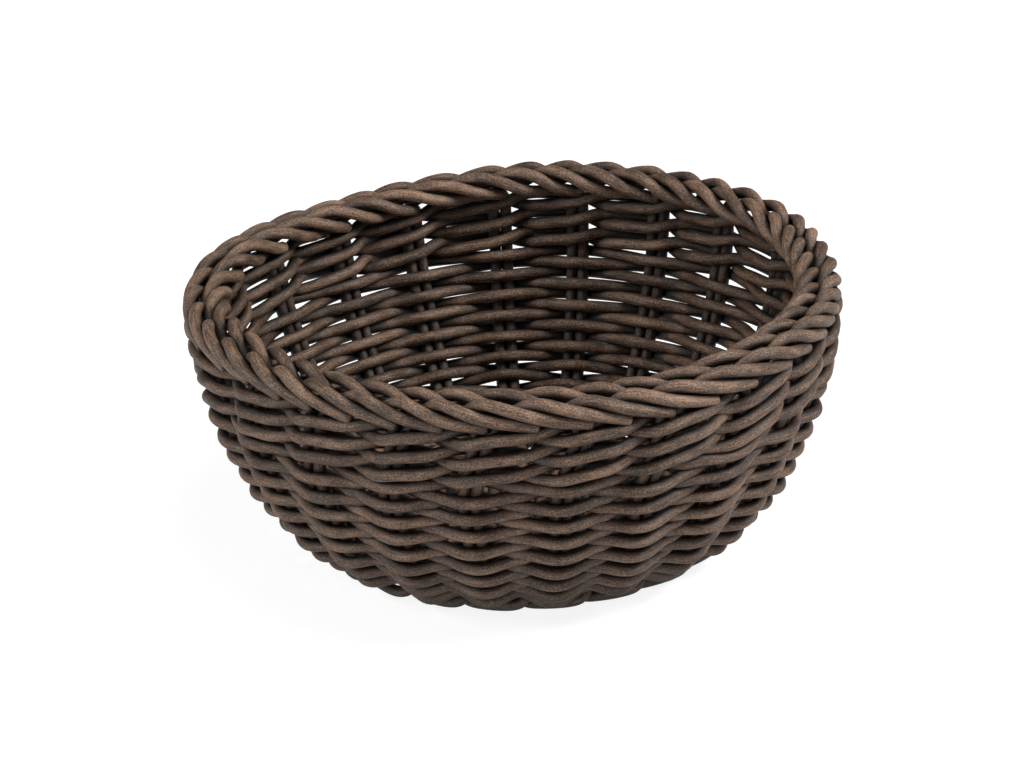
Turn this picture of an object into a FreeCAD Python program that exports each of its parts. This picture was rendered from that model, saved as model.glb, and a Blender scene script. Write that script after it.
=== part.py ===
import FreeCAD, Part
import math
import os

os.makedirs("parts", exist_ok=True)

# Driving dimensions of the basket. Lengths are in millimetres and angles in degrees.
STAKE_PAIRS = 22            # pairs of upright strands round the wall, an even number
STAKE_D = 4.0               # diameter of the upright strands, which also make base and border
WEAVER_D = 3.7              # diameter of the strands woven round the wall
BASE_WEAVER_D = 2.6         # diameter of the finer strands woven into the base
CLEARANCE = 0.1             # air left between strands that lie against each other

# Section of the wall, along the centre line of the stakes, from the base outwards and upwards.
# Each arc is (bend radius, steepness at its end).
CORNER_R = 67.0             # radius at which the stakes leave the base
CORNER_ARC = (13.0, 38.0)   # the turn out of the base
LOWER_ARC = (62.0, 61.0)    # the lower, more open part of the bowl
UPPER_ARC = (142.0, 86.0)   # the upper, nearly upright part
BASE_DROP = -2.5            # steepness of the base, which sinks a little towards its edge

# Rows of weaving, placed by their distance along the section.
TWINED_ROWS = 3             # twined rows at the top of the wall
TWINE_PITCH = 7.6
PLAIN_ROWS = 17             # plain woven rows below them
PLAIN_PITCH = 3.95
TWINE_TO_PLAIN = 5.8        # from the lowest twined row to the highest plain row
TOP_ROW_BELOW_RIM = 5.0     # from the highest twined row to the end of the section
FOOT_BEFORE_CORNER = 1.0    # distance of the foot row inside the turn out of the base

# One turned-down stake of the border: (steps round the rim, way out from the stake, height above
# the highest row), the last two in stake diameters. One step is the even spacing of the stakes.
BORDER_COURSE = (
    (0.05, -0.45, 1.35),
    (0.5, -1.45, 1.6),
    (1.0, -2.0, 2.15),
    (1.5, -1.85, 2.8),
    (2.0, -1.2, 3.1),
    (2.5, -0.6, 2.4),
    (3.0, -0.1, 2.8),
    (3.5, 0.5, 3.0),
    (4.0, 1.0, 2.5),
    (4.5, 1.0, 1.95),
    (5.1, 1.0, 1.3),
)
STAKE_BEND_HEIGHT = 0.55    # height above the highest row, in stake diameters, of the first bend

# The base: the stakes run right through it in two crossing layers and then fan out.
LOWER_PAIRS = 5             # pairs in the lower layer of the cross
UPPER_PAIRS = 6             # pairs in the upper layer of the cross
CROSS_PITCH = 8.4           # spacing of the pairs where they lie parallel
CROSS_MARGIN = 6.5          # how far the parallel part goes on past the layer it crosses
BINDING_MARGIN = 4.0        # how far outside the crossing layers the binding strand runs
BINDING_LIFT = 0.6          # extra air between the binding strand and the layers
FANNED_R = 50.0             # radius from which the pairs are evenly spread
BASE_ROWS = 2               # fine twined rows round the fanned part of the base
BASE_ROW_R = 54.0           # radius of the innermost base row
BASE_ROW_PITCH = 5.5

FILLET_SHARE = 0.45         # share of the shorter run taken by each rounded corner
LIFT_FOR_ROUNDING = 1.3     # makes up for the height that a crossing loses to its rounded corner
FLAT_REACH = 0.85           # how far a weaver runs flat past the axis of a stake, in its diameters
LEAST_TURN = 0.3            # a bend smaller than this is left out
MOST_TURN = 7.0             # a bend is split into corners no sharper than this
PAIR_SPREAD = (STAKE_D + CLEARANCE) / 2
PAIR_STEP = 360.0 / STAKE_PAIRS
BORDER_STEP = PAIR_STEP / 2
WEAVE_OFFSET = (STAKE_D + WEAVER_D) / 2 + 2 * CLEARANCE
BASE_OFFSET = (STAKE_D + BASE_WEAVER_D) / 2 + 2 * CLEARANCE
SECTION_ARCS = (CORNER_ARC, LOWER_ARC, UPPER_ARC)

# The foot row touches the ground, which sets the height of the corner above it.
CORNER_HEIGHT = (
    WEAVE_OFFSET * math.cos(math.radians(BASE_DROP))
    + FOOT_BEFORE_CORNER * math.sin(math.radians(BASE_DROP))
    + WEAVER_D / 2
)


def point_at(radius, angle, height, sideways=0.0):
    """A point given by its radius, its angle in degrees, its height and a sideways shift."""
    turn = math.radians(angle)
    return FreeCAD.Vector(
        radius * math.cos(turn) - sideways * math.sin(turn),
        radius * math.sin(turn) + sideways * math.cos(turn),
        height,
    )


def section_at(distance):
    """Radius, height and steepness in degrees of the wall section at a distance from the corner."""
    radius, height, steepness = CORNER_R, CORNER_HEIGHT, BASE_DROP
    for bend, end in SECTION_ARCS:
        length = bend * math.radians(end - steepness)
        along = min(max(distance, 0.0), length)
        start = math.radians(steepness)
        radius += bend * (math.sin(start + along / bend) - math.sin(start))
        height += bend * (math.cos(start) - math.cos(start + along / bend))
        steepness += math.degrees(along / bend)
        distance -= along
    slope = math.radians(steepness)
    return radius + distance * math.cos(slope), height + distance * math.sin(slope), steepness


def section_length():
    """Length of the curved section from the corner to the rim."""
    total, steepness = 0.0, BASE_DROP
    for bend, end in SECTION_ARCS:
        total += bend * math.radians(end - steepness)
        steepness = end
    return total


def section_corners():
    """(radius, height) of the corner points that give the section once they are rounded."""
    corners = []
    passed, steepness = 0.0, BASE_DROP
    for bend, end in SECTION_ARCS:
        parts = math.ceil((end - steepness) / MOST_TURN)
        half_turn = math.radians(end - steepness) / parts / 2
        for part in range(parts):
            middle = passed + bend * half_turn * (2 * part + 1)
            corners.append(off_section(middle, bend / math.cos(half_turn) - bend))
        passed += 2 * bend * half_turn * parts
        steepness = end
    return corners


def off_section(distance, outwards):
    """Radius and height of a point at a distance along the section, moved out of it."""
    radius, height, steepness = section_at(distance)
    slope = math.radians(steepness)
    return radius + outwards * math.sin(slope), height - outwards * math.cos(slope)


TOP_ROW = section_length() - TOP_ROW_BELOW_RIM


def rounded_wire(points, closed=False):
    """A wire of straight runs joined by tangent arcs through a list of corner points."""
    count = len(points)
    edges = []
    last = None if closed else points[0]
    for i in range(count) if closed else range(1, count - 1):
        corner = points[i]
        back = points[i - 1].sub(corner)
        ahead = points[(i + 1) % count].sub(corner)
        reach = FILLET_SHARE * min(back.Length, ahead.Length)
        back.normalize()
        ahead.normalize()
        turn = math.pi - back.getAngle(ahead)
        if turn < math.radians(LEAST_TURN):
            continue
        inwards = back + ahead
        inwards.normalize()
        bend = reach / math.tan(turn / 2)
        middle = corner + inwards * (bend / math.cos(turn / 2) - bend)
        if last is not None:
            edges.append(Part.makeLine(last, corner + back * reach))
        edges.append(Part.Arc(corner + back * reach, middle, corner + ahead * reach).toShape())
        last = corner + ahead * reach
    finish = edges[0].valueAt(edges[0].FirstParameter) if closed else points[-1]
    edges.append(Part.makeLine(last, finish))
    return Part.Wire(edges)


def strand(points, diameter, closed=False):
    """A round strand along rounded corners: a closed ring, or open with flat ends."""
    path = rounded_wire(points, closed)
    lead = path.Edges[0]
    start = lead.valueAt(lead.FirstParameter)
    profile = Part.makeCircle(diameter / 2, start, lead.tangentAt(lead.FirstParameter))
    return path.makePipeShell([Part.Wire([profile])], True, True)


def opened(points):
    """Corner points of a ring as an open strand whose ends meet half way along a straight run."""
    start = (points[0] + points[1]) * 0.5
    along = points[1].sub(points[0])
    along.normalize()
    return [start] + points[1:] + [points[0], start - along * CLEARANCE]


def save(node, solids):
    """Write one node. Its solids stay separate."""
    shape = solids[0] if len(solids) == 1 else Part.makeCompound(solids)
    shape.exportStep("parts/" + node + ".step")


def border_points(first_angle, begin):
    """Corner points of a turned-down stake, leaving out those of the course before begin."""
    radius, height, _ = section_at(TOP_ROW)
    return [
        point_at(radius + outwards * STAKE_D, first_angle + step * BORDER_STEP, height + above * STAKE_D)
        for step, outwards, above in BORDER_COURSE[begin:]
    ]


def stake_arm(pair, side):
    """Corner points of one end of a stake, from the fanned base up the wall into the border."""
    angle = pair * PAIR_STEP
    sideways = side * PAIR_SPREAD
    tip, bend = FANNED_R - CORNER_R, TOP_ROW + STAKE_BEND_HEIGHT * STAKE_D
    course = [off_section(tip, 0.0)] + section_corners() + [off_section(bend, 0.0)]
    points = [point_at(radius, angle, height, sideways) for radius, height in course]
    if side < 0:
        return points + border_points(angle - BORDER_STEP / 2, 1)
    return points + border_points(angle + BORDER_STEP / 2, 0)


def stake_pair(pair):
    """Two strands side by side that cross the base and make a pair of stakes at either end."""
    in_lower = pair <= LOWER_PAIRS // 2
    far_pair = STAKE_PAIRS // 2 - pair if in_lower else -pair
    place = pair if in_lower else STAKE_PAIRS / 4 - pair
    crossed = UPPER_PAIRS if in_lower else LOWER_PAIRS
    reach = crossed * CROSS_PITCH / 2 + CROSS_MARGIN
    fanned = point_at(FANNED_R, pair * PAIR_STEP, 0.0)
    ahead, aside = (fanned.x, fanned.y) if in_lower else (fanned.y, fanned.x)
    turn = math.atan2(aside - place * CROSS_PITCH, ahead - reach)
    _, middle, _ = section_at(-CORNER_R)
    height = middle + (-PAIR_SPREAD if in_lower else PAIR_SPREAD)
    strands = []
    for side in (-1, 1):
        shift = side * PAIR_SPREAD if in_lower else -side * PAIR_SPREAD
        across = place * CROSS_PITCH + shift
        corner = reach - shift * math.tan(turn / 2)
        points = stake_arm(pair, side)[::-1]
        for along in (corner, -corner):
            x, y = (along, across) if in_lower else (across, along)
            points.append(FreeCAD.Vector(x, y, height))
        points += stake_arm(far_pair, -side)
        strands.append(strand(points, STAKE_D))
    return strands


def plain_row(distance, phase):
    """A plain woven row: outside one pair of stakes, inside the next, all the way round."""
    flat = PAIR_SPREAD + FLAT_REACH * WEAVER_D
    points = []
    for pair in range(STAKE_PAIRS):
        outwards = WEAVE_OFFSET if (pair + phase) % 2 == 0 else -WEAVE_OFFSET
        radius, height = off_section(distance, outwards)
        for sideways in (-flat, flat):
            points.append(point_at(radius, pair * PAIR_STEP, height, sideways))
    return strand(points, WEAVER_D, closed=True)


def twined_row(distance, diameter, offset):
    """Two strands twisted round each other between the pairs of stakes.

    Each strand goes in above the other and comes out below it.
    """
    flat = PAIR_SPREAD + FLAT_REACH * diameter
    lift = (diameter + CLEARANCE) / 2 * LIFT_FOR_ROUNDING
    strands = []
    for phase in (0, 1):
        points = []
        for pair in range(phase, STAKE_PAIRS + phase):
            outside = (pair + phase) % 2 == 1
            radius, height = off_section(distance, offset if outside else -offset)
            for sideways in (-flat, flat):
                points.append(point_at(radius, pair * PAIR_STEP, height, sideways))
            radius, height = off_section(distance + (lift if outside else -lift), 0.0)
            points.append(point_at(radius, (pair + 0.5) * PAIR_STEP, height))
        strands.append(strand(opened(points), diameter))
    return strands


def base_binding():
    """The strand that holds the cross together, over the lower layer and under the upper one."""
    _, middle, _ = section_at(-CORNER_R)
    rise = BASE_OFFSET - PAIR_SPREAD + BINDING_LIFT
    half_x = UPPER_PAIRS * CROSS_PITCH / 2
    half_y = LOWER_PAIRS * CROSS_PITCH / 2
    far_x = half_x + BINDING_MARGIN
    far_y = half_y + BINDING_MARGIN
    corners = (
        (far_x, -half_y, rise), (far_x, half_y, rise),
        (half_x, far_y, -rise), (-half_x, far_y, -rise),
        (-far_x, half_y, rise), (-far_x, -half_y, rise),
        (-half_x, -far_y, -rise), (half_x, -far_y, -rise),
    )
    points = [FreeCAD.Vector(x, y, middle + up) for x, y, up in corners]
    return [strand(opened(points), BASE_WEAVER_D)]


def main():
    first_pair = -(LOWER_PAIRS // 2)
    for number in range(STAKE_PAIRS // 2):
        save("stake_pair_%02d" % (number + 1), stake_pair(first_pair + number))
    for number in range(TWINED_ROWS):
        strands = twined_row(TOP_ROW - number * TWINE_PITCH, WEAVER_D, WEAVE_OFFSET)
        save("twined_row_%d_strand_a" % (number + 1), strands[:1])
        save("twined_row_%d_strand_b" % (number + 1), strands[1:])
    highest_plain = TOP_ROW - (TWINED_ROWS - 1) * TWINE_PITCH - TWINE_TO_PLAIN
    for number in range(PLAIN_ROWS):
        row = plain_row(highest_plain - number * PLAIN_PITCH, (number + 1) % 2)
        save("woven_row_%02d" % (number + 1), [row])
    foot = twined_row(-FOOT_BEFORE_CORNER, WEAVER_D, WEAVE_OFFSET)
    save("foot_row_strand_a", foot[:1])
    save("foot_row_strand_b", foot[1:])
    save("base_binding", base_binding())
    for number in range(BASE_ROWS):
        distance = BASE_ROW_R + number * BASE_ROW_PITCH - CORNER_R
        save("base_row_%d" % (number + 1), twined_row(distance, BASE_WEAVER_D, BASE_OFFSET))


main()
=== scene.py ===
"""Looks of the woven fruit basket: every strand as a smooth tube with a streaked, satin skin.

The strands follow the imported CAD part: the same wall section, rows, stakes, border and base.
Lengths are in millimetres until a mesh is made, and angles are in degrees.
"""

import math

import bpy
import numpy as np
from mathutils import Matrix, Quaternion, Vector


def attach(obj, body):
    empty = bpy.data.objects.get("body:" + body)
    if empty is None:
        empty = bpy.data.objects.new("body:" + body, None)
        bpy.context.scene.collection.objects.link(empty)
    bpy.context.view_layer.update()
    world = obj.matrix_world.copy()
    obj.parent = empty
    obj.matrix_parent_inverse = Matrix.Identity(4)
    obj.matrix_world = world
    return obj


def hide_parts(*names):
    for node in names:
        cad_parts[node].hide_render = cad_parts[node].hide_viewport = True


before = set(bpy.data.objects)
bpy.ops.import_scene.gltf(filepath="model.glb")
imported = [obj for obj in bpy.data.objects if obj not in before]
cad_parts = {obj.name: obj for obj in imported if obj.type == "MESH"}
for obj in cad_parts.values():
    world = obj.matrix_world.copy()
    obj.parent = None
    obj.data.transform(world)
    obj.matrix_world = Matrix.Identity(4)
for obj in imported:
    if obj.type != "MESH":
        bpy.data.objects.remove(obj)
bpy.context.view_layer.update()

MM = 0.001

# The strands. Those of the wall are a little thicker than in the CAD part, where none may overlap.
STAKE_D = 4.35
WEAVER_D = 4.25
TWINED_D = 4.3
FOOT_D = 4.0
BASE_WEAVER_D = 2.6

# The weave.
STAKE_PAIRS = 22
PAIR_STEP = 360.0 / STAKE_PAIRS
BORDER_STEP = PAIR_STEP / 2
PAIR_SPREAD = 2.12          # half the distance between the two stakes of a pair
WEAVE_OFFSET = 4.1          # how far a weaver runs outside or inside the stakes
BASE_OFFSET = 3.5           # how far the fine strands run above or below the stakes of the base

# Section of the wall along the stakes: (bend radius, steepness at the end of the arc).
CORNER_R = 67.0
CORNER_HEIGHT = 5.85
BASE_DROP = -2.5
SECTION_ARCS = ((13.0, 38.0), (62.0, 61.0), (142.0, 86.0))
RIM_HEIGHT = 95.0
RIM_RADIUS = 115.0
WALL_POINTS = (4.0, 84.0, 7.0)          # (first, end, spacing) of a stake's control points in the wall

# Rows of weaving, placed by their distance along the section.
TOP_ROW = 91.9
TWINED_ROWS = 3
TWINE_PITCH = 7.2
PLAIN_ROWS = 17
PLAIN_PITCH = 3.95
TWINE_TO_PLAIN = 5.7
BASE_ROWS = (-13.0, -7.5)
FOOT_ROW = 3.4

# How the weavers swing between outside and inside. A power above one keeps them in the middle longer.
PLAIN_POWER = 1.6
TWINED_POWER = 1.3
TWINE_LIFT = 2.2            # the two twined strands pass each other this far above and below the row
TWINE_LATE = 0.22           # how much that place is moved past the middle between two pairs
FOOT_DROP = 4.4             # a foot strand runs up to this far below the stakes, or above them
FOOT_SPREAD = 1.2           # and this much further out when it is below them
FOOT_LIFT = 1.7             # where the two foot strands change over, they lie this far off the row
FOOT_SHARPNESS = 2.2        # how quickly they change from below the stakes to above them
FOOT_BIAS = 0.9             # they stay below for longer than above
RING_GAP = 0.12             # angle between a weaver's end and the pair where it starts and ends
STEPS_PER_PAIR = 26

# A turned-down stake: (border steps, way out of the top row, height above it).
BORDER_COURSE = (
    (0.05, -1.6, 4.8), (0.5, -5.6, 5.4), (1.0, -8.0, 7.6), (1.5, -7.7, 11.6), (2.0, -5.0, 13.4),
    (2.5, -2.4, 11.4), (3.0, -0.8, 6.9), (3.5, 1.2, 12.9), (4.0, 4.3, 11.4), (4.5, 4.7, 8.4),
    (5.0, 4.3, 6.4), (5.5, 3.0, 4.4),
)
STAKE_BEND_ABOVE = 2.2      # height above the top row where a stake turns into the border

# The base: stakes in two crossing layers, a binding strand, and where the pairs fan out.
LOWER_PAIRS = 5
UPPER_PAIRS = 6
CROSS_PITCH = 8.4
CROSS_MARGIN = 6.5
CROSS_POINTS = 7            # control points of a stake where it crosses the base
BINDING_MARGIN = 4.0
BINDING_RISE = 2.1
BINDING_GAP = 0.2
FANNED_R = 50.0

# Hand-made irregularity.
BORDER_UNEVEN = 0.16        # how far the border's control points are off
TIP_UNEVEN = (-0.12, 0.1)   # how much shorter or longer a stake's tip is, in border steps
PLAIN_WANDER = 0.22         # how far a plain row wanders up and down the wall
PLAIN_WANDER_WAVES = (3, 14)            # fewest and most waves of it in a turn
PLAIN_BULGE = 0.05          # share by which a plain row swings out more or less
PLAIN_BULGE_WAVES = (3, 22)
TWINED_WANDER = 0.2         # how far a twined row wanders
TWINED_WANDER_WAVES = (3, 12)
SWELL = 0.012               # share by which a strand's thickness changes
SWELL_LENGTH = 9.0
STAKE_LEAN = 0.7            # how far the stakes lean to one side or the other, in degrees of the rim
RIM_UNEVEN = 0.004          # share by which the rim is uneven
BACK_TURN = -5.4            # the stakes behind stand a little further round than the front ones
BACK_REACH = 1.6            # the higher, the more quickly front turns to back
HIGHEST_SHARE = 1.1         # the share of the height above which nothing bends any further
FRONT_LEAN_AT = (0.0, 0.6, 0.85, HIGHEST_SHARE)
FRONT_LEAN = (-1.8, -1.8, 1.6, 1.9)         # turn of the front of the wall there, in degrees
LOWER = 0.992               # the wall is a little lower than a regular one
RIM_SKEW = 0.0157           # the rim is higher at +X than at -X
RIM_PITCH = -0.0085         # and higher at the front than at the back
FLARE = 0.0174              # the wall opens a little wider than a regular one
RIM_TUCK = 0.0106           # and closes again below the border
RIM_TUCK_AT = (0.85, 0.95)
# Slow waves round the rim: (waves in a turn, size in mm, angle of the first crest).
RIM_RISES = ((2, 1.07, 39.0), (3, 1.44, -53.8))
RIM_BULGES = ((2, 2.41, -38.8), (3, 1.31, 62.0))

# Mesh of a strand.
RING_SPACING = 1.25
NEVER_ALONG = (0.3, 0.2, 1.0)           # no strand starts in this direction
SIDES = 16
RING_TURN = np.linspace(0.0, 2 * math.pi, SIDES, endpoint=False)
CURVE_STEPS = 8
END_ROUNDING = ((0.7, 0.93), (1.25, 0.76), (1.6, 0.45))     # (beyond the end, share of the radius)
PATTERN_SPREAD = 400.0      # how far apart the strands' places in the pattern of the skin may be

rng = np.random.default_rng(7)


# ------------------------------------------------------------------ places in the basket

def section_at(distance):
    """Radius, height and steepness (radians) of the wall section at distances from the corner."""
    left = np.asarray(distance, float)
    radius, height, slope = CORNER_R, CORNER_HEIGHT, math.radians(BASE_DROP)
    arc_start = BASE_DROP
    for bend, arc_end in SECTION_ARCS:
        length = bend * math.radians(arc_end - arc_start)
        along = np.clip(left, 0.0, length)
        radius = radius + bend * (np.sin(slope + along / bend) - np.sin(slope))
        height = height + bend * (np.cos(slope) - np.cos(slope + along / bend))
        slope = slope + along / bend
        left = left - along
        arc_start = arc_end
    return radius + left * np.cos(slope), height + left * np.sin(slope), slope


def off_section(distance, outwards):
    """Radius and height at distances along the section, moved out of it."""
    radius, height, slope = section_at(distance)
    return radius + outwards * np.sin(slope), height - outwards * np.cos(slope)


def points_at(radius, angle, height, sideways=0.0):
    """Points from radius, angle in degrees, height and a sideways shift."""
    turn = np.radians(np.asarray(angle, float))
    radius, height = np.broadcast_arrays(radius, height)
    x = radius * np.cos(turn) - sideways * np.sin(turn)
    y = radius * np.sin(turn) + sideways * np.cos(turn)
    return np.stack(np.broadcast_arrays(x, y, height), axis=-1)


# ------------------------------------------------------------------ hand-made irregularity

def ripple(lowest, highest):
    """A smooth random function of an angle in degrees, about one in size."""
    orders = np.arange(lowest, highest + 1)
    sizes = rng.normal(0.0, 1.0, len(orders)) / math.sqrt(len(orders))
    phases = rng.uniform(0.0, 360.0, len(orders))

    def at(angle):
        angle = np.asarray(angle, float)[..., None]
        return (sizes * np.cos(np.radians(orders * angle + phases))).sum(axis=-1) * math.sqrt(2)
    return at


LEAN = ripple(4, 11)
OUT_OF_ROUND = ripple(2, 4)
RIM_WAVE = ripple(2, 7)


def waves(angle, kinds):
    """The sum of slow waves at an angle in degrees."""
    return sum(size * np.cos(np.radians(count * (angle - crest))) for count, size, crest in kinds)


def handmade(points):
    """Moves points the way a hand-woven basket strays from the regular one."""
    x, y, z = points[:, 0], points[:, 1], points[:, 2]
    radius = np.hypot(x, y)
    angle = np.degrees(np.arctan2(y, x))
    share = np.clip(z / RIM_HEIGHT, 0.0, HIGHEST_SHARE)
    behind = 0.5 + 0.5 * np.clip(BACK_REACH * np.sin(np.radians(angle)), -1.0, 1.0)
    angle = angle + BACK_TURN * behind ** 2 * (3 - 2 * behind) + STAKE_LEAN * LEAN(angle) * share
    angle = angle + (1.0 - behind) * np.interp(share, FRONT_LEAN_AT, FRONT_LEAN)
    turn = np.radians(angle)
    slant = (RIM_SKEW * np.cos(turn) + RIM_PITCH * np.sin(turn)) * radius / RIM_RADIUS
    z = z * (LOWER + slant + RIM_UNEVEN * RIM_WAVE(angle))
    z = z + share ** 2 * waves(angle, RIM_RISES)
    bulge = FLARE + waves(angle, RIM_BULGES) / RIM_RADIUS + RIM_UNEVEN * OUT_OF_ROUND(angle)
    radius = radius * (1.0 + bulge * share - np.interp(share, RIM_TUCK_AT, (0.0, RIM_TUCK)))
    return np.stack([radius * np.cos(turn), radius * np.sin(turn), z], axis=-1)


# ------------------------------------------------------------------ strands

def flowing(points):
    """A smooth open curve led by control points: it touches the middle of every run."""
    points = np.asarray(points, float)
    middles = (points[:-1] + points[1:]) / 2
    starts = np.concatenate([points[:1], middles[1:-1]])
    ends = np.concatenate([middles[1:-1], points[-1:]])
    t = np.linspace(0.0, 1.0, CURVE_STEPS, endpoint=False)[None, :, None]
    a, b, c = starts[:, None], points[1:-1, None], ends[:, None]
    curve = ((1 - t) ** 2 * a + 2 * t * (1 - t) * b + t ** 2 * c).reshape(-1, 3)
    return np.concatenate([curve, points[-1:]])


def evenly(points, spacing):
    """The same line with points at even spacing, and the distance of each along it."""
    steps = np.linalg.norm(np.diff(points, axis=0), axis=1)
    passed = np.concatenate([[0.0], np.cumsum(steps)])
    marks = np.linspace(0.0, passed[-1], max(4, int(passed[-1] / spacing)))
    line = np.stack([np.interp(marks, passed, points[:, k]) for k in range(3)], axis=-1)
    return line, marks


def spokes_round(line):
    """The direction of a line at each point, and directions to the points of a ring round it.

    The rings are carried along the line without twist.
    """
    along = np.gradient(line, axis=0)
    along /= np.linalg.norm(along, axis=1, keepdims=True)
    first = np.cross(along[0], NEVER_ALONG)
    across = np.empty_like(line)
    across[0] = first / np.linalg.norm(first)
    for i in range(1, len(line)):
        carried = across[i - 1] - along[i] * across[i - 1].dot(along[i])
        across[i] = carried / np.linalg.norm(carried)
    third = np.cross(along, across)
    cosines, sines = np.cos(RING_TURN)[None, :, None], np.sin(RING_TURN)[None, :, None]
    return along, across[:, None] * cosines + third[:, None] * sines


def skin_places(distances, radius):
    """Where each point reads the pattern of the skin: around and along its strand."""
    offset = rng.uniform(0.0, PATTERN_SPREAD, 3)
    skin = np.empty((len(distances), SIDES, 3))
    skin[..., 0] = offset[0] + radius * np.cos(RING_TURN)
    skin[..., 1] = offset[1] + radius * np.sin(RING_TURN)
    skin[..., 2] = offset[2] + distances[:, None]
    return skin


class Strands:
    """Gathers tubes that make one piece."""

    def __init__(self):
        self.vertices, self.faces, self.skin, self.tone = [], [], [], []
        self.count = 0

    def add(self, points, diameter):
        """Adds a tube with slightly rounded cut ends."""
        radius = diameter / 2
        line, passed = evenly(handmade(points), RING_SPACING)
        swell = 1.0 + SWELL * np.sin(passed / SWELL_LENGTH + rng.uniform(0.0, 2 * math.pi))
        along, spokes = spokes_round(line)
        outs, shares = np.array(END_ROUNDING).T
        before = line[0] - outs[::-1, None] * along[0]
        after = line[-1] + outs[:, None] * along[-1]
        centres = np.concatenate([before, line, after])
        radii = radius * np.concatenate([shares[::-1], swell, shares])
        spokes = np.pad(spokes, ((len(outs), len(outs)), (0, 0), (0, 0)), mode="edge")
        distances = np.concatenate([-outs[::-1], passed, passed[-1] + outs])
        self.vertices.append((centres[:, None] + spokes * radii[:, None, None]).reshape(-1, 3))
        self.skin.append(skin_places(distances, radius).reshape(-1, 3))
        self.tone.append(np.full(len(centres) * SIDES, rng.uniform(0.0, 1.0)))
        self.add_faces(len(centres))

    def add_faces(self, rings):
        """Adds quads between the rings of the newest tube, and a cap at either end."""
        here = np.arange(SIDES)
        ahead = (here + 1) % SIDES
        rows = self.count + SIDES * np.arange(rings - 1)[:, None]
        quads = np.stack([rows + here, rows + ahead, rows + SIDES + ahead, rows + SIDES + here], axis=-1)
        self.faces += quads.reshape(-1, 4).tolist()
        self.faces.append((self.count + here[::-1]).tolist())
        self.faces.append((self.count + (rings - 1) * SIDES + here).tolist())
        self.count += rings * SIDES

    def make(self, node, material):
        """Makes the piece that stands for a CAD node."""
        mesh = bpy.data.meshes.new(node + "_cane")
        mesh.from_pydata((np.concatenate(self.vertices) * MM).tolist(), [], self.faces)
        mesh.polygons.foreach_set("use_smooth", [len(face) == 4 for face in self.faces])
        skin = mesh.attributes.new("skin", "FLOAT_VECTOR", "POINT")
        skin.data.foreach_set("vector", np.concatenate(self.skin).ravel())
        tone = mesh.attributes.new("tone", "FLOAT", "POINT")
        tone.data.foreach_set("value", np.concatenate(self.tone))
        mesh.materials.append(material)
        mesh.update()
        piece = bpy.data.objects.new(node + "_cane", mesh)
        bpy.context.collection.objects.link(piece)
        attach(piece, "root")
        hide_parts(node)


# ------------------------------------------------------------------ stakes and border

def border_points(first_angle, begin):
    """Control points of one turned-down stake, leaving out those of the course before begin."""
    radius, height, _ = section_at(TOP_ROW)
    course = np.array(BORDER_COURSE[begin:])
    course = course + rng.normal(0.0, BORDER_UNEVEN, course.shape) * (0.0, 1.0, 1.0)
    course[-1, 0] += rng.uniform(*TIP_UNEVEN)
    steps, outwards, above = course.T
    return points_at(radius + outwards, first_angle + steps * BORDER_STEP, height + above)


def stake_arm(pair, side):
    """Control points of one end of a stake, from the fanned base up the wall into the border."""
    angle = pair * PAIR_STEP
    corner = [FANNED_R - CORNER_R, 0.0]
    distances = np.concatenate([corner, np.arange(*WALL_POINTS), [TOP_ROW + STAKE_BEND_ABOVE]])
    radius, height = off_section(distances, 0.0)
    wall = points_at(radius, angle, height, side * PAIR_SPREAD)
    if side < 0:
        return np.concatenate([wall, border_points(angle - BORDER_STEP / 2, 1)])
    return np.concatenate([wall, border_points(angle + BORDER_STEP / 2, 0)])


def stake_strand(pair, side):
    """Control points of a stake from border to border, through the base."""
    in_lower = pair <= LOWER_PAIRS // 2
    far_pair = STAKE_PAIRS // 2 - pair if in_lower else -pair
    place = pair if in_lower else STAKE_PAIRS / 4 - pair
    reach = (UPPER_PAIRS if in_lower else LOWER_PAIRS) * CROSS_PITCH / 2 + CROSS_MARGIN
    fanned = points_at(FANNED_R, pair * PAIR_STEP, 0.0)
    ahead, aside = (fanned[0], fanned[1]) if in_lower else (fanned[1], fanned[0])
    turn = math.atan2(aside - place * CROSS_PITCH, ahead - reach)
    height = section_at(-CORNER_R)[1] + (-PAIR_SPREAD if in_lower else PAIR_SPREAD)
    shift = side * PAIR_SPREAD if in_lower else -side * PAIR_SPREAD
    across = place * CROSS_PITCH + shift
    corner = reach - shift * math.tan(turn / 2)
    crossing = []
    for along in np.linspace(corner, -corner, CROSS_POINTS):
        x, y = (along, across) if in_lower else (across, along)
        crossing.append((x, y, height))
    near = stake_arm(pair, side)[::-1]
    return np.concatenate([near, crossing, stake_arm(far_pair, -side)])


# ------------------------------------------------------------------ rows and base

def round_angles(phase):
    """Angles of a full turn that starts and ends at a pair of stakes where the row is inside."""
    start = 2 * rng.integers(STAKE_PAIRS // 2) + 1 + phase
    gap = RING_GAP / PAIR_STEP
    return (start + np.linspace(gap, STAKE_PAIRS - gap, STAKE_PAIRS * STEPS_PER_PAIR)) * PAIR_STEP


def swing(phase_angle, power):
    """A wave from 1 to -1 that stays near the middle for longer when the power is above one."""
    wave = np.cos(phase_angle)
    return np.sign(wave) * np.abs(wave) ** power


def plain_row(number):
    """A plain woven row: outside one pair of stakes, inside the next, all the way round."""
    distance = TOP_ROW - (TWINED_ROWS - 1) * TWINE_PITCH - TWINE_TO_PLAIN - number * PLAIN_PITCH
    phase = (number + 1) % 2
    angle = round_angles(phase)
    wander = PLAIN_WANDER * ripple(*PLAIN_WANDER_WAVES)(angle)
    bulge = 1.0 + PLAIN_BULGE * ripple(*PLAIN_BULGE_WAVES)(angle)
    outwards = WEAVE_OFFSET * bulge * swing(math.pi * (angle / PAIR_STEP - phase), PLAIN_POWER)
    radius, height = off_section(distance + wander, outwards)
    return points_at(radius, angle, height)


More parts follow.
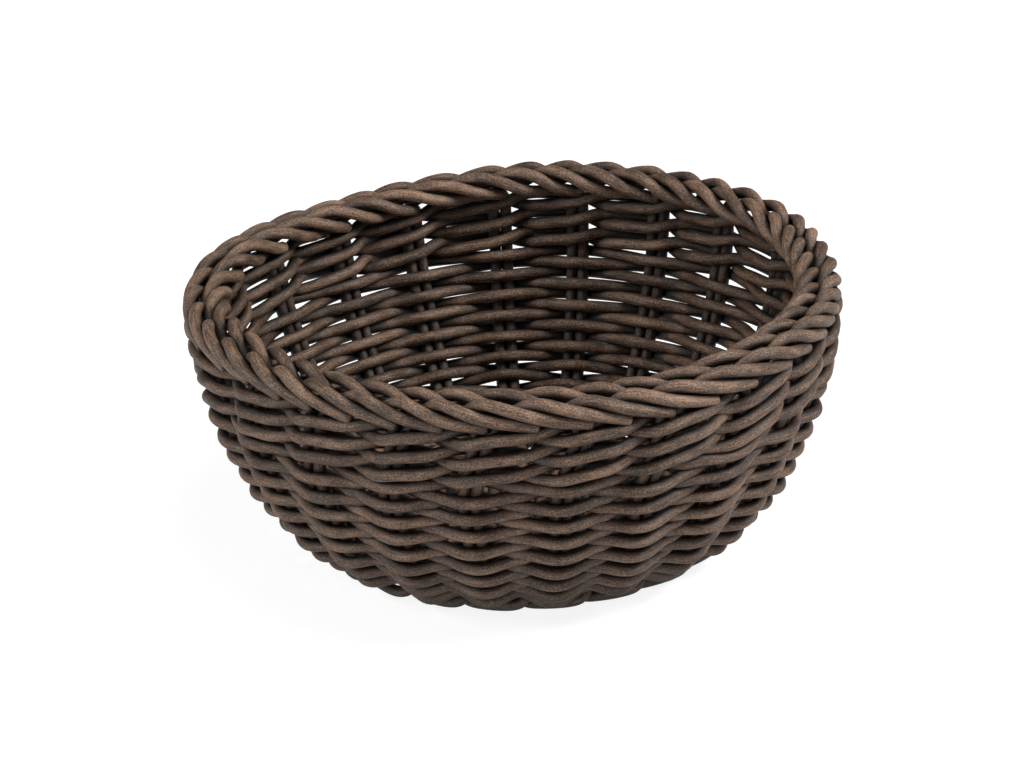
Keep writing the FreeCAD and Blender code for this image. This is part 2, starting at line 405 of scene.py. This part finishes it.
def twined_strand(distance, lift, offset, phase):
    """One of two strands twisted round each other: outside a pair it climbs, inside it sinks."""
    angle = round_angles(phase)
    place = angle / PAIR_STEP
    turn = math.pi * (place - phase - TWINE_LATE * (1 - np.cos(2 * math.pi * place)) / 2)
    wander = TWINED_WANDER * ripple(*TWINED_WANDER_WAVES)(angle)
    outwards = swing(turn, TWINED_POWER)
    radius, height = off_section(distance + wander + lift * np.sin(turn), offset * outwards)
    return points_at(radius, angle, height)


def foot_strand(phase):
    """One of the two foot strands, which lie side by side under the stakes where they change over."""
    angle = round_angles(phase)
    turn = math.pi * (angle / PAIR_STEP - phase)
    below = np.tanh(FOOT_SHARPNESS * np.cos(turn) + FOOT_BIAS)
    distance = FOOT_ROW + FOOT_SPREAD * below + FOOT_LIFT * np.sin(turn)
    radius, height = off_section(distance, FOOT_DROP * below)
    return points_at(radius, angle, height)


def base_binding():
    """Control points of the strand that holds the cross together."""
    middle = section_at(-CORNER_R)[1]
    half_x = UPPER_PAIRS * CROSS_PITCH / 2
    half_y = LOWER_PAIRS * CROSS_PITCH / 2
    far_x = half_x + BINDING_MARGIN
    far_y = half_y + BINDING_MARGIN
    corners = (
        (far_x, 0.0, BINDING_RISE), (far_x, half_y, BINDING_RISE),
        (half_x, far_y, -BINDING_RISE), (-half_x, far_y, -BINDING_RISE),
        (-far_x, half_y, BINDING_RISE), (-far_x, -half_y, BINDING_RISE),
        (-half_x, -far_y, -BINDING_RISE), (half_x, -far_y, -BINDING_RISE),
        (far_x, -half_y, BINDING_RISE), (far_x, -BINDING_GAP, BINDING_RISE),
    )
    return [(x, y, middle + rise) for x, y, rise in corners]


# ------------------------------------------------------------------ materials

# Noise in the skin: (scale across, across and along the strand), detail, roughness.
STREAKS = ((2.6, 2.6, 0.20), 3.0, 0.55)
BLOTCHES = ((0.35, 0.35, 0.10), 2.0, 0.55)
GRAIN = ((2.3, 2.3, 1.7), 2.0, 0.8)
# What the colour is made of.
STREAKS_SHARE = 0.28
BLOTCHES_SHARE = 0.24
GRAIN_SHARE = 0.60
TONE_SHARE = 0.08           # the part that differs from strand to strand
COLOUR_STOPS = (0.43, 0.56, 0.72)           # where the colour is dark, middling and light
MIDDLE_COLOUR = 0.21        # the middling colour, as a share of the light one
# Painted shade in the recesses between the strands: the colour darkens where they lie close together.
PAINTED_SHADE_REACH = 0.012        # in metres
PAINTED_SHADE_POWER = 1.7
PAINTED_SHADE_COLOUR = 0.12        # the colour in the deepest ones, as a share of the dark one
PAINTED_SHADE_SAMPLES = 8
# Gloss and relief.
SPECULAR = 0.5
GRAIN_ROUGHNESS = 0.22      # how much rougher the grain makes the skin
RELIEF_STREAKS = 0.4        # the streaks are this high, compared to the grain
RELIEF_STRENGTH = 0.9
RELIEF_HEIGHT = 0.0003      # in metres


def mixed(nodes, links, kind, first, second):
    """A math node's result for two sockets or numbers."""
    node = nodes.new("ShaderNodeMath")
    node.operation = kind
    for socket, value in zip(node.inputs, (first, second)):
        if isinstance(value, (int, float)):
            socket.default_value = value
        else:
            links.new(value, socket)
    return node.outputs["Value"]


def attribute(nodes, name):
    """The node that reads one of a strand's attributes."""
    node = nodes.new("ShaderNodeAttribute")
    node.attribute_name = name
    return node


def stretched_noise(nodes, links, skin, scale, detail, roughness):
    """Noise that is stretched along the strand."""
    mapping = nodes.new("ShaderNodeMapping")
    mapping.inputs["Scale"].default_value = scale
    links.new(skin.outputs["Vector"], mapping.inputs["Vector"])
    noise = nodes.new("ShaderNodeTexNoise")
    noise.inputs["Scale"].default_value = 1.0
    noise.inputs["Detail"].default_value = detail
    noise.inputs["Roughness"].default_value = roughness
    links.new(mapping.outputs["Vector"], noise.inputs["Vector"])
    return noise.outputs["Fac"]


def cane_colour(nodes, links, amount, dark, light):
    """The colour from dark to light by an amount, with a darker middle than an even blend has."""
    dark_at, middle_at, light_at = COLOUR_STOPS
    ramp = nodes.new("ShaderNodeValToRGB")
    first, last = ramp.color_ramp.elements
    first.position = dark_at
    first.color = (*dark, 1.0)
    last.position = light_at
    last.color = (*light, 1.0)
    middle = ramp.color_ramp.elements.new(middle_at)
    middle.color = (*(MIDDLE_COLOUR * value for value in light), 1.0)
    links.new(amount, ramp.inputs["Fac"])
    return ramp.outputs["Color"]


def painted_hollow_shade(nodes, links, colour, dark):
    """The colour with painted shade: nearly black in the recesses between the strands."""
    # painted shade: ambient occlusion darkens the colour where strands lie close together
    shade_occlusion = nodes.new("ShaderNodeAmbientOcclusion")
    shade_occlusion.samples = PAINTED_SHADE_SAMPLES
    shade_occlusion.inputs["Distance"].default_value = PAINTED_SHADE_REACH
    shaded = nodes.new("ShaderNodeMix")
    shaded.data_type = "RGBA"
    factor, in_painted_shade, in_open = shaded.inputs[0], shaded.inputs[6], shaded.inputs[7]
    in_painted_shade.default_value = (*(PAINTED_SHADE_COLOUR * value for value in dark), 1.0)
    links.new(mixed(nodes, links, "POWER", shade_occlusion.outputs["AO"], PAINTED_SHADE_POWER), factor)
    links.new(colour, in_open)
    return shaded.outputs[2]


def strand_material(name, dark, light, rough):
    """Satin synthetic cane: fine streaks along the strand, mottled tone and slight grain, with painted shade
    in the recesses.
    """
    material = bpy.data.materials.new(name)
    material.use_nodes = True
    nodes, links = material.node_tree.nodes, material.node_tree.links
    nodes.clear()
    output = nodes.new("ShaderNodeOutputMaterial")
    surface = nodes.new("ShaderNodeBsdfPrincipled")
    links.new(surface.outputs["BSDF"], output.inputs["Surface"])
    surface.inputs["Specular IOR Level"].default_value = SPECULAR
    skin = attribute(nodes, "skin")
    tone = attribute(nodes, "tone")

    streaks = stretched_noise(nodes, links, skin, *STREAKS)
    blotches = stretched_noise(nodes, links, skin, *BLOTCHES)
    grain = stretched_noise(nodes, links, skin, *GRAIN)
    amount = mixed(nodes, links, "MULTIPLY", streaks, STREAKS_SHARE)
    for part, share in ((blotches, BLOTCHES_SHARE), (grain, GRAIN_SHARE), (tone.outputs["Fac"], TONE_SHARE)):
        amount = mixed(nodes, links, "ADD", amount, mixed(nodes, links, "MULTIPLY", part, share))
    colour = cane_colour(nodes, links, amount, dark, light)
    # painted shade: the base colour is darkened in the recesses between the strands
    links.new(painted_hollow_shade(nodes, links, colour, dark), surface.inputs["Base Color"])

    grain_roughness = mixed(nodes, links, "MULTIPLY", grain, GRAIN_ROUGHNESS)
    links.new(mixed(nodes, links, "ADD", grain_roughness, rough), surface.inputs["Roughness"])

    ridges = mixed(nodes, links, "MULTIPLY", streaks, RELIEF_STREAKS)
    bump = nodes.new("ShaderNodeBump")
    bump.inputs["Strength"].default_value = RELIEF_STRENGTH
    bump.inputs["Distance"].default_value = RELIEF_HEIGHT
    links.new(mixed(nodes, links, "ADD", ridges, grain), bump.inputs["Height"])
    links.new(bump.outputs["Normal"], surface.inputs["Normal"])
    return material


stake_skin = strand_material("stake_skin", (0.022, 0.0125, 0.0080), (0.430, 0.265, 0.172), 0.36)
weaver_skin = strand_material("weaver_skin", (0.020, 0.0112, 0.0072), (0.410, 0.252, 0.163), 0.38)
base_skin = strand_material("base_skin", (0.018, 0.0100, 0.0064), (0.360, 0.222, 0.144), 0.42)


# ------------------------------------------------------------------ pieces

def make_stakes():
    """Eleven through pairs, each with its two strands side by side."""
    first_pair = -(LOWER_PAIRS // 2)
    for number in range(STAKE_PAIRS // 2):
        strands = Strands()
        for side in (-1, 1):
            strands.add(flowing(stake_strand(first_pair + number, side)), STAKE_D)
        strands.make("stake_pair_%02d" % (number + 1), stake_skin)


def make_weaver(node, points, diameter):
    """A piece of one weaver."""
    strands = Strands()
    strands.add(points, diameter)
    strands.make(node, weaver_skin)


def make_wall_and_foot():
    """The twined rows, the plain rows below them and the foot."""
    for number in range(TWINED_ROWS):
        distance = TOP_ROW - number * TWINE_PITCH
        for phase, letter in enumerate("ab"):
            points = twined_strand(distance, TWINE_LIFT, WEAVE_OFFSET, phase)
            make_weaver("twined_row_%d_strand_%s" % (number + 1, letter), points, TWINED_D)
    for number in range(PLAIN_ROWS):
        make_weaver("woven_row_%02d" % (number + 1), plain_row(number), WEAVER_D)
    for phase, letter in enumerate("ab"):
        make_weaver("foot_row_strand_" + letter, foot_strand(phase), FOOT_D)


def make_base():
    """The binding strand and the fine twined rows."""
    strands = Strands()
    strands.add(flowing(base_binding()), BASE_WEAVER_D)
    strands.make("base_binding", base_skin)
    for number, distance in enumerate(BASE_ROWS):
        strands = Strands()
        for phase in (0, 1):
            strands.add(twined_strand(distance, BASE_WEAVER_D / 2, BASE_OFFSET, phase), BASE_WEAVER_D)
        strands.make("base_row_%d" % (number + 1), base_skin)


make_stakes()
make_wall_and_foot()
make_base()


# ------------------------------------------------------------------ floor, light and camera

FLOOR_SIZE = 8.0            # metres
FLOOR_BELOW = 0.0005
FLOOR_GREY = 0.35
FLOOR_ROUGHNESS = 0.2
FLOOR_SPECULAR = 0.25
LOOK_AT = (0.0, 0.0, 0.04)
LOOK_LOW = (0.0, 0.0, 0.03)
SENSOR_WIDTH = 36.0
WHITE = (1.0, 1.0, 1.0, 1.0)


def seen_strength(nodes, links, around, seen, shine):
    """A strength for what is seen, another for what shines in the canes, and one for all other light."""
    path = nodes.new("ShaderNodeLightPath")
    strength = nodes.new("ShaderNodeMapRange")
    strength.inputs["To Min"].default_value = around
    strength.inputs["To Max"].default_value = seen
    links.new(path.outputs["Is Camera Ray"], strength.inputs["Value"])
    total = nodes.new("ShaderNodeMath")
    total.operation = "MULTIPLY_ADD"
    total.inputs[1].default_value = shine
    links.new(path.outputs["Is Glossy Ray"], total.inputs[0])
    links.new(strength.outputs["Result"], total.inputs[2])
    return total.outputs["Value"]


def pale_floor():
    """A large pale floor that shines a little."""
    mesh = bpy.data.meshes.new("floor")
    half = FLOOR_SIZE / 2
    corners = [(-half, -half, 0), (half, -half, 0), (half, half, 0), (-half, half, 0)]
    mesh.from_pydata(corners, [], [(0, 1, 2, 3)])
    floor = bpy.data.objects.new("floor", mesh)
    bpy.context.collection.objects.link(floor)
    floor.location.z = -FLOOR_BELOW
    material = bpy.data.materials.new("floor_white")
    material.use_nodes = True
    nodes, links = material.node_tree.nodes, material.node_tree.links
    surface = nodes["Principled BSDF"]
    surface.inputs["Base Color"].default_value = (FLOOR_GREY, FLOOR_GREY, FLOOR_GREY, 1.0)
    surface.inputs["Roughness"].default_value = FLOOR_ROUGHNESS
    surface.inputs["Specular IOR Level"].default_value = FLOOR_SPECULAR
    surface.inputs["Emission Color"].default_value = WHITE
    strength = seen_strength(nodes, links, around=0.0, seen=0.86, shine=0.45)
    links.new(strength, surface.inputs["Emission Strength"])
    mesh.materials.append(material)


def studio_world():
    """White behind the basket, and a weaker even light all round it."""
    world = bpy.data.worlds.new("studio")
    world.use_nodes = True
    nodes, links = world.node_tree.nodes, world.node_tree.links
    background = nodes["Background"]
    background.inputs["Color"].default_value = WHITE
    strength = seen_strength(nodes, links, around=0.012, seen=1.0, shine=0.12)
    links.new(strength, background.inputs["Strength"])
    bpy.context.scene.world = world


def soft_light(name, position, target, size, power):
    """A square soft box aimed at a point."""
    light = bpy.data.lights.new(name, "AREA")
    light.shape = "SQUARE"
    light.size = size
    light.energy = power
    holder = bpy.data.objects.new(name, light)
    bpy.context.collection.objects.link(holder)
    holder.location = position
    holder.rotation_euler = (Vector(target) - Vector(position)).to_track_quat("-Z", "Y").to_euler()


def camera(elevation, distance, focal_length, aim, roll):
    """The camera in front of the basket, above it, looking down at the aim point."""
    data = bpy.data.cameras.new("camera")
    data.lens = focal_length
    data.sensor_width = SENSOR_WIDTH
    data.clip_start = 0.05
    data.clip_end = 50.0
    holder = bpy.data.objects.new("camera", data)
    bpy.context.collection.objects.link(holder)
    rise = math.radians(elevation)
    back = Vector((0.0, -math.cos(rise), math.sin(rise)))
    holder.location = Vector(aim) + back * distance
    facing = (-back).to_track_quat("-Z", "Y")
    own_axis = Vector((0.0, 0.0, 1.0))
    holder.rotation_mode = "QUATERNION"
    holder.rotation_quaternion = facing @ Quaternion(own_axis, math.radians(roll))
    bpy.context.scene.camera = holder


pale_floor()
studio_world()
soft_light("right", (1.1, -0.2, 1.0), LOOK_AT, 0.4, 16.5)
soft_light("left", (-1.1, -0.3, 0.8), LOOK_AT, 0.4, 7.0)
soft_light("top", (0.1, -0.2, 1.35), LOOK_AT, 0.4, 4.0)
soft_light("low_right", (1.0, -1.2, 0.24), LOOK_LOW, 0.3, 4.5)
soft_light("low_left", (-1.0, -1.2, 0.24), LOOK_LOW, 0.3, 5.5)
bpy.context.scene.view_settings.view_transform = "Standard"
camera(elevation=23.34, distance=1.60, focal_length=158.2, aim=(-0.00246, 0.0023, 0.05282), roll=-2.54)
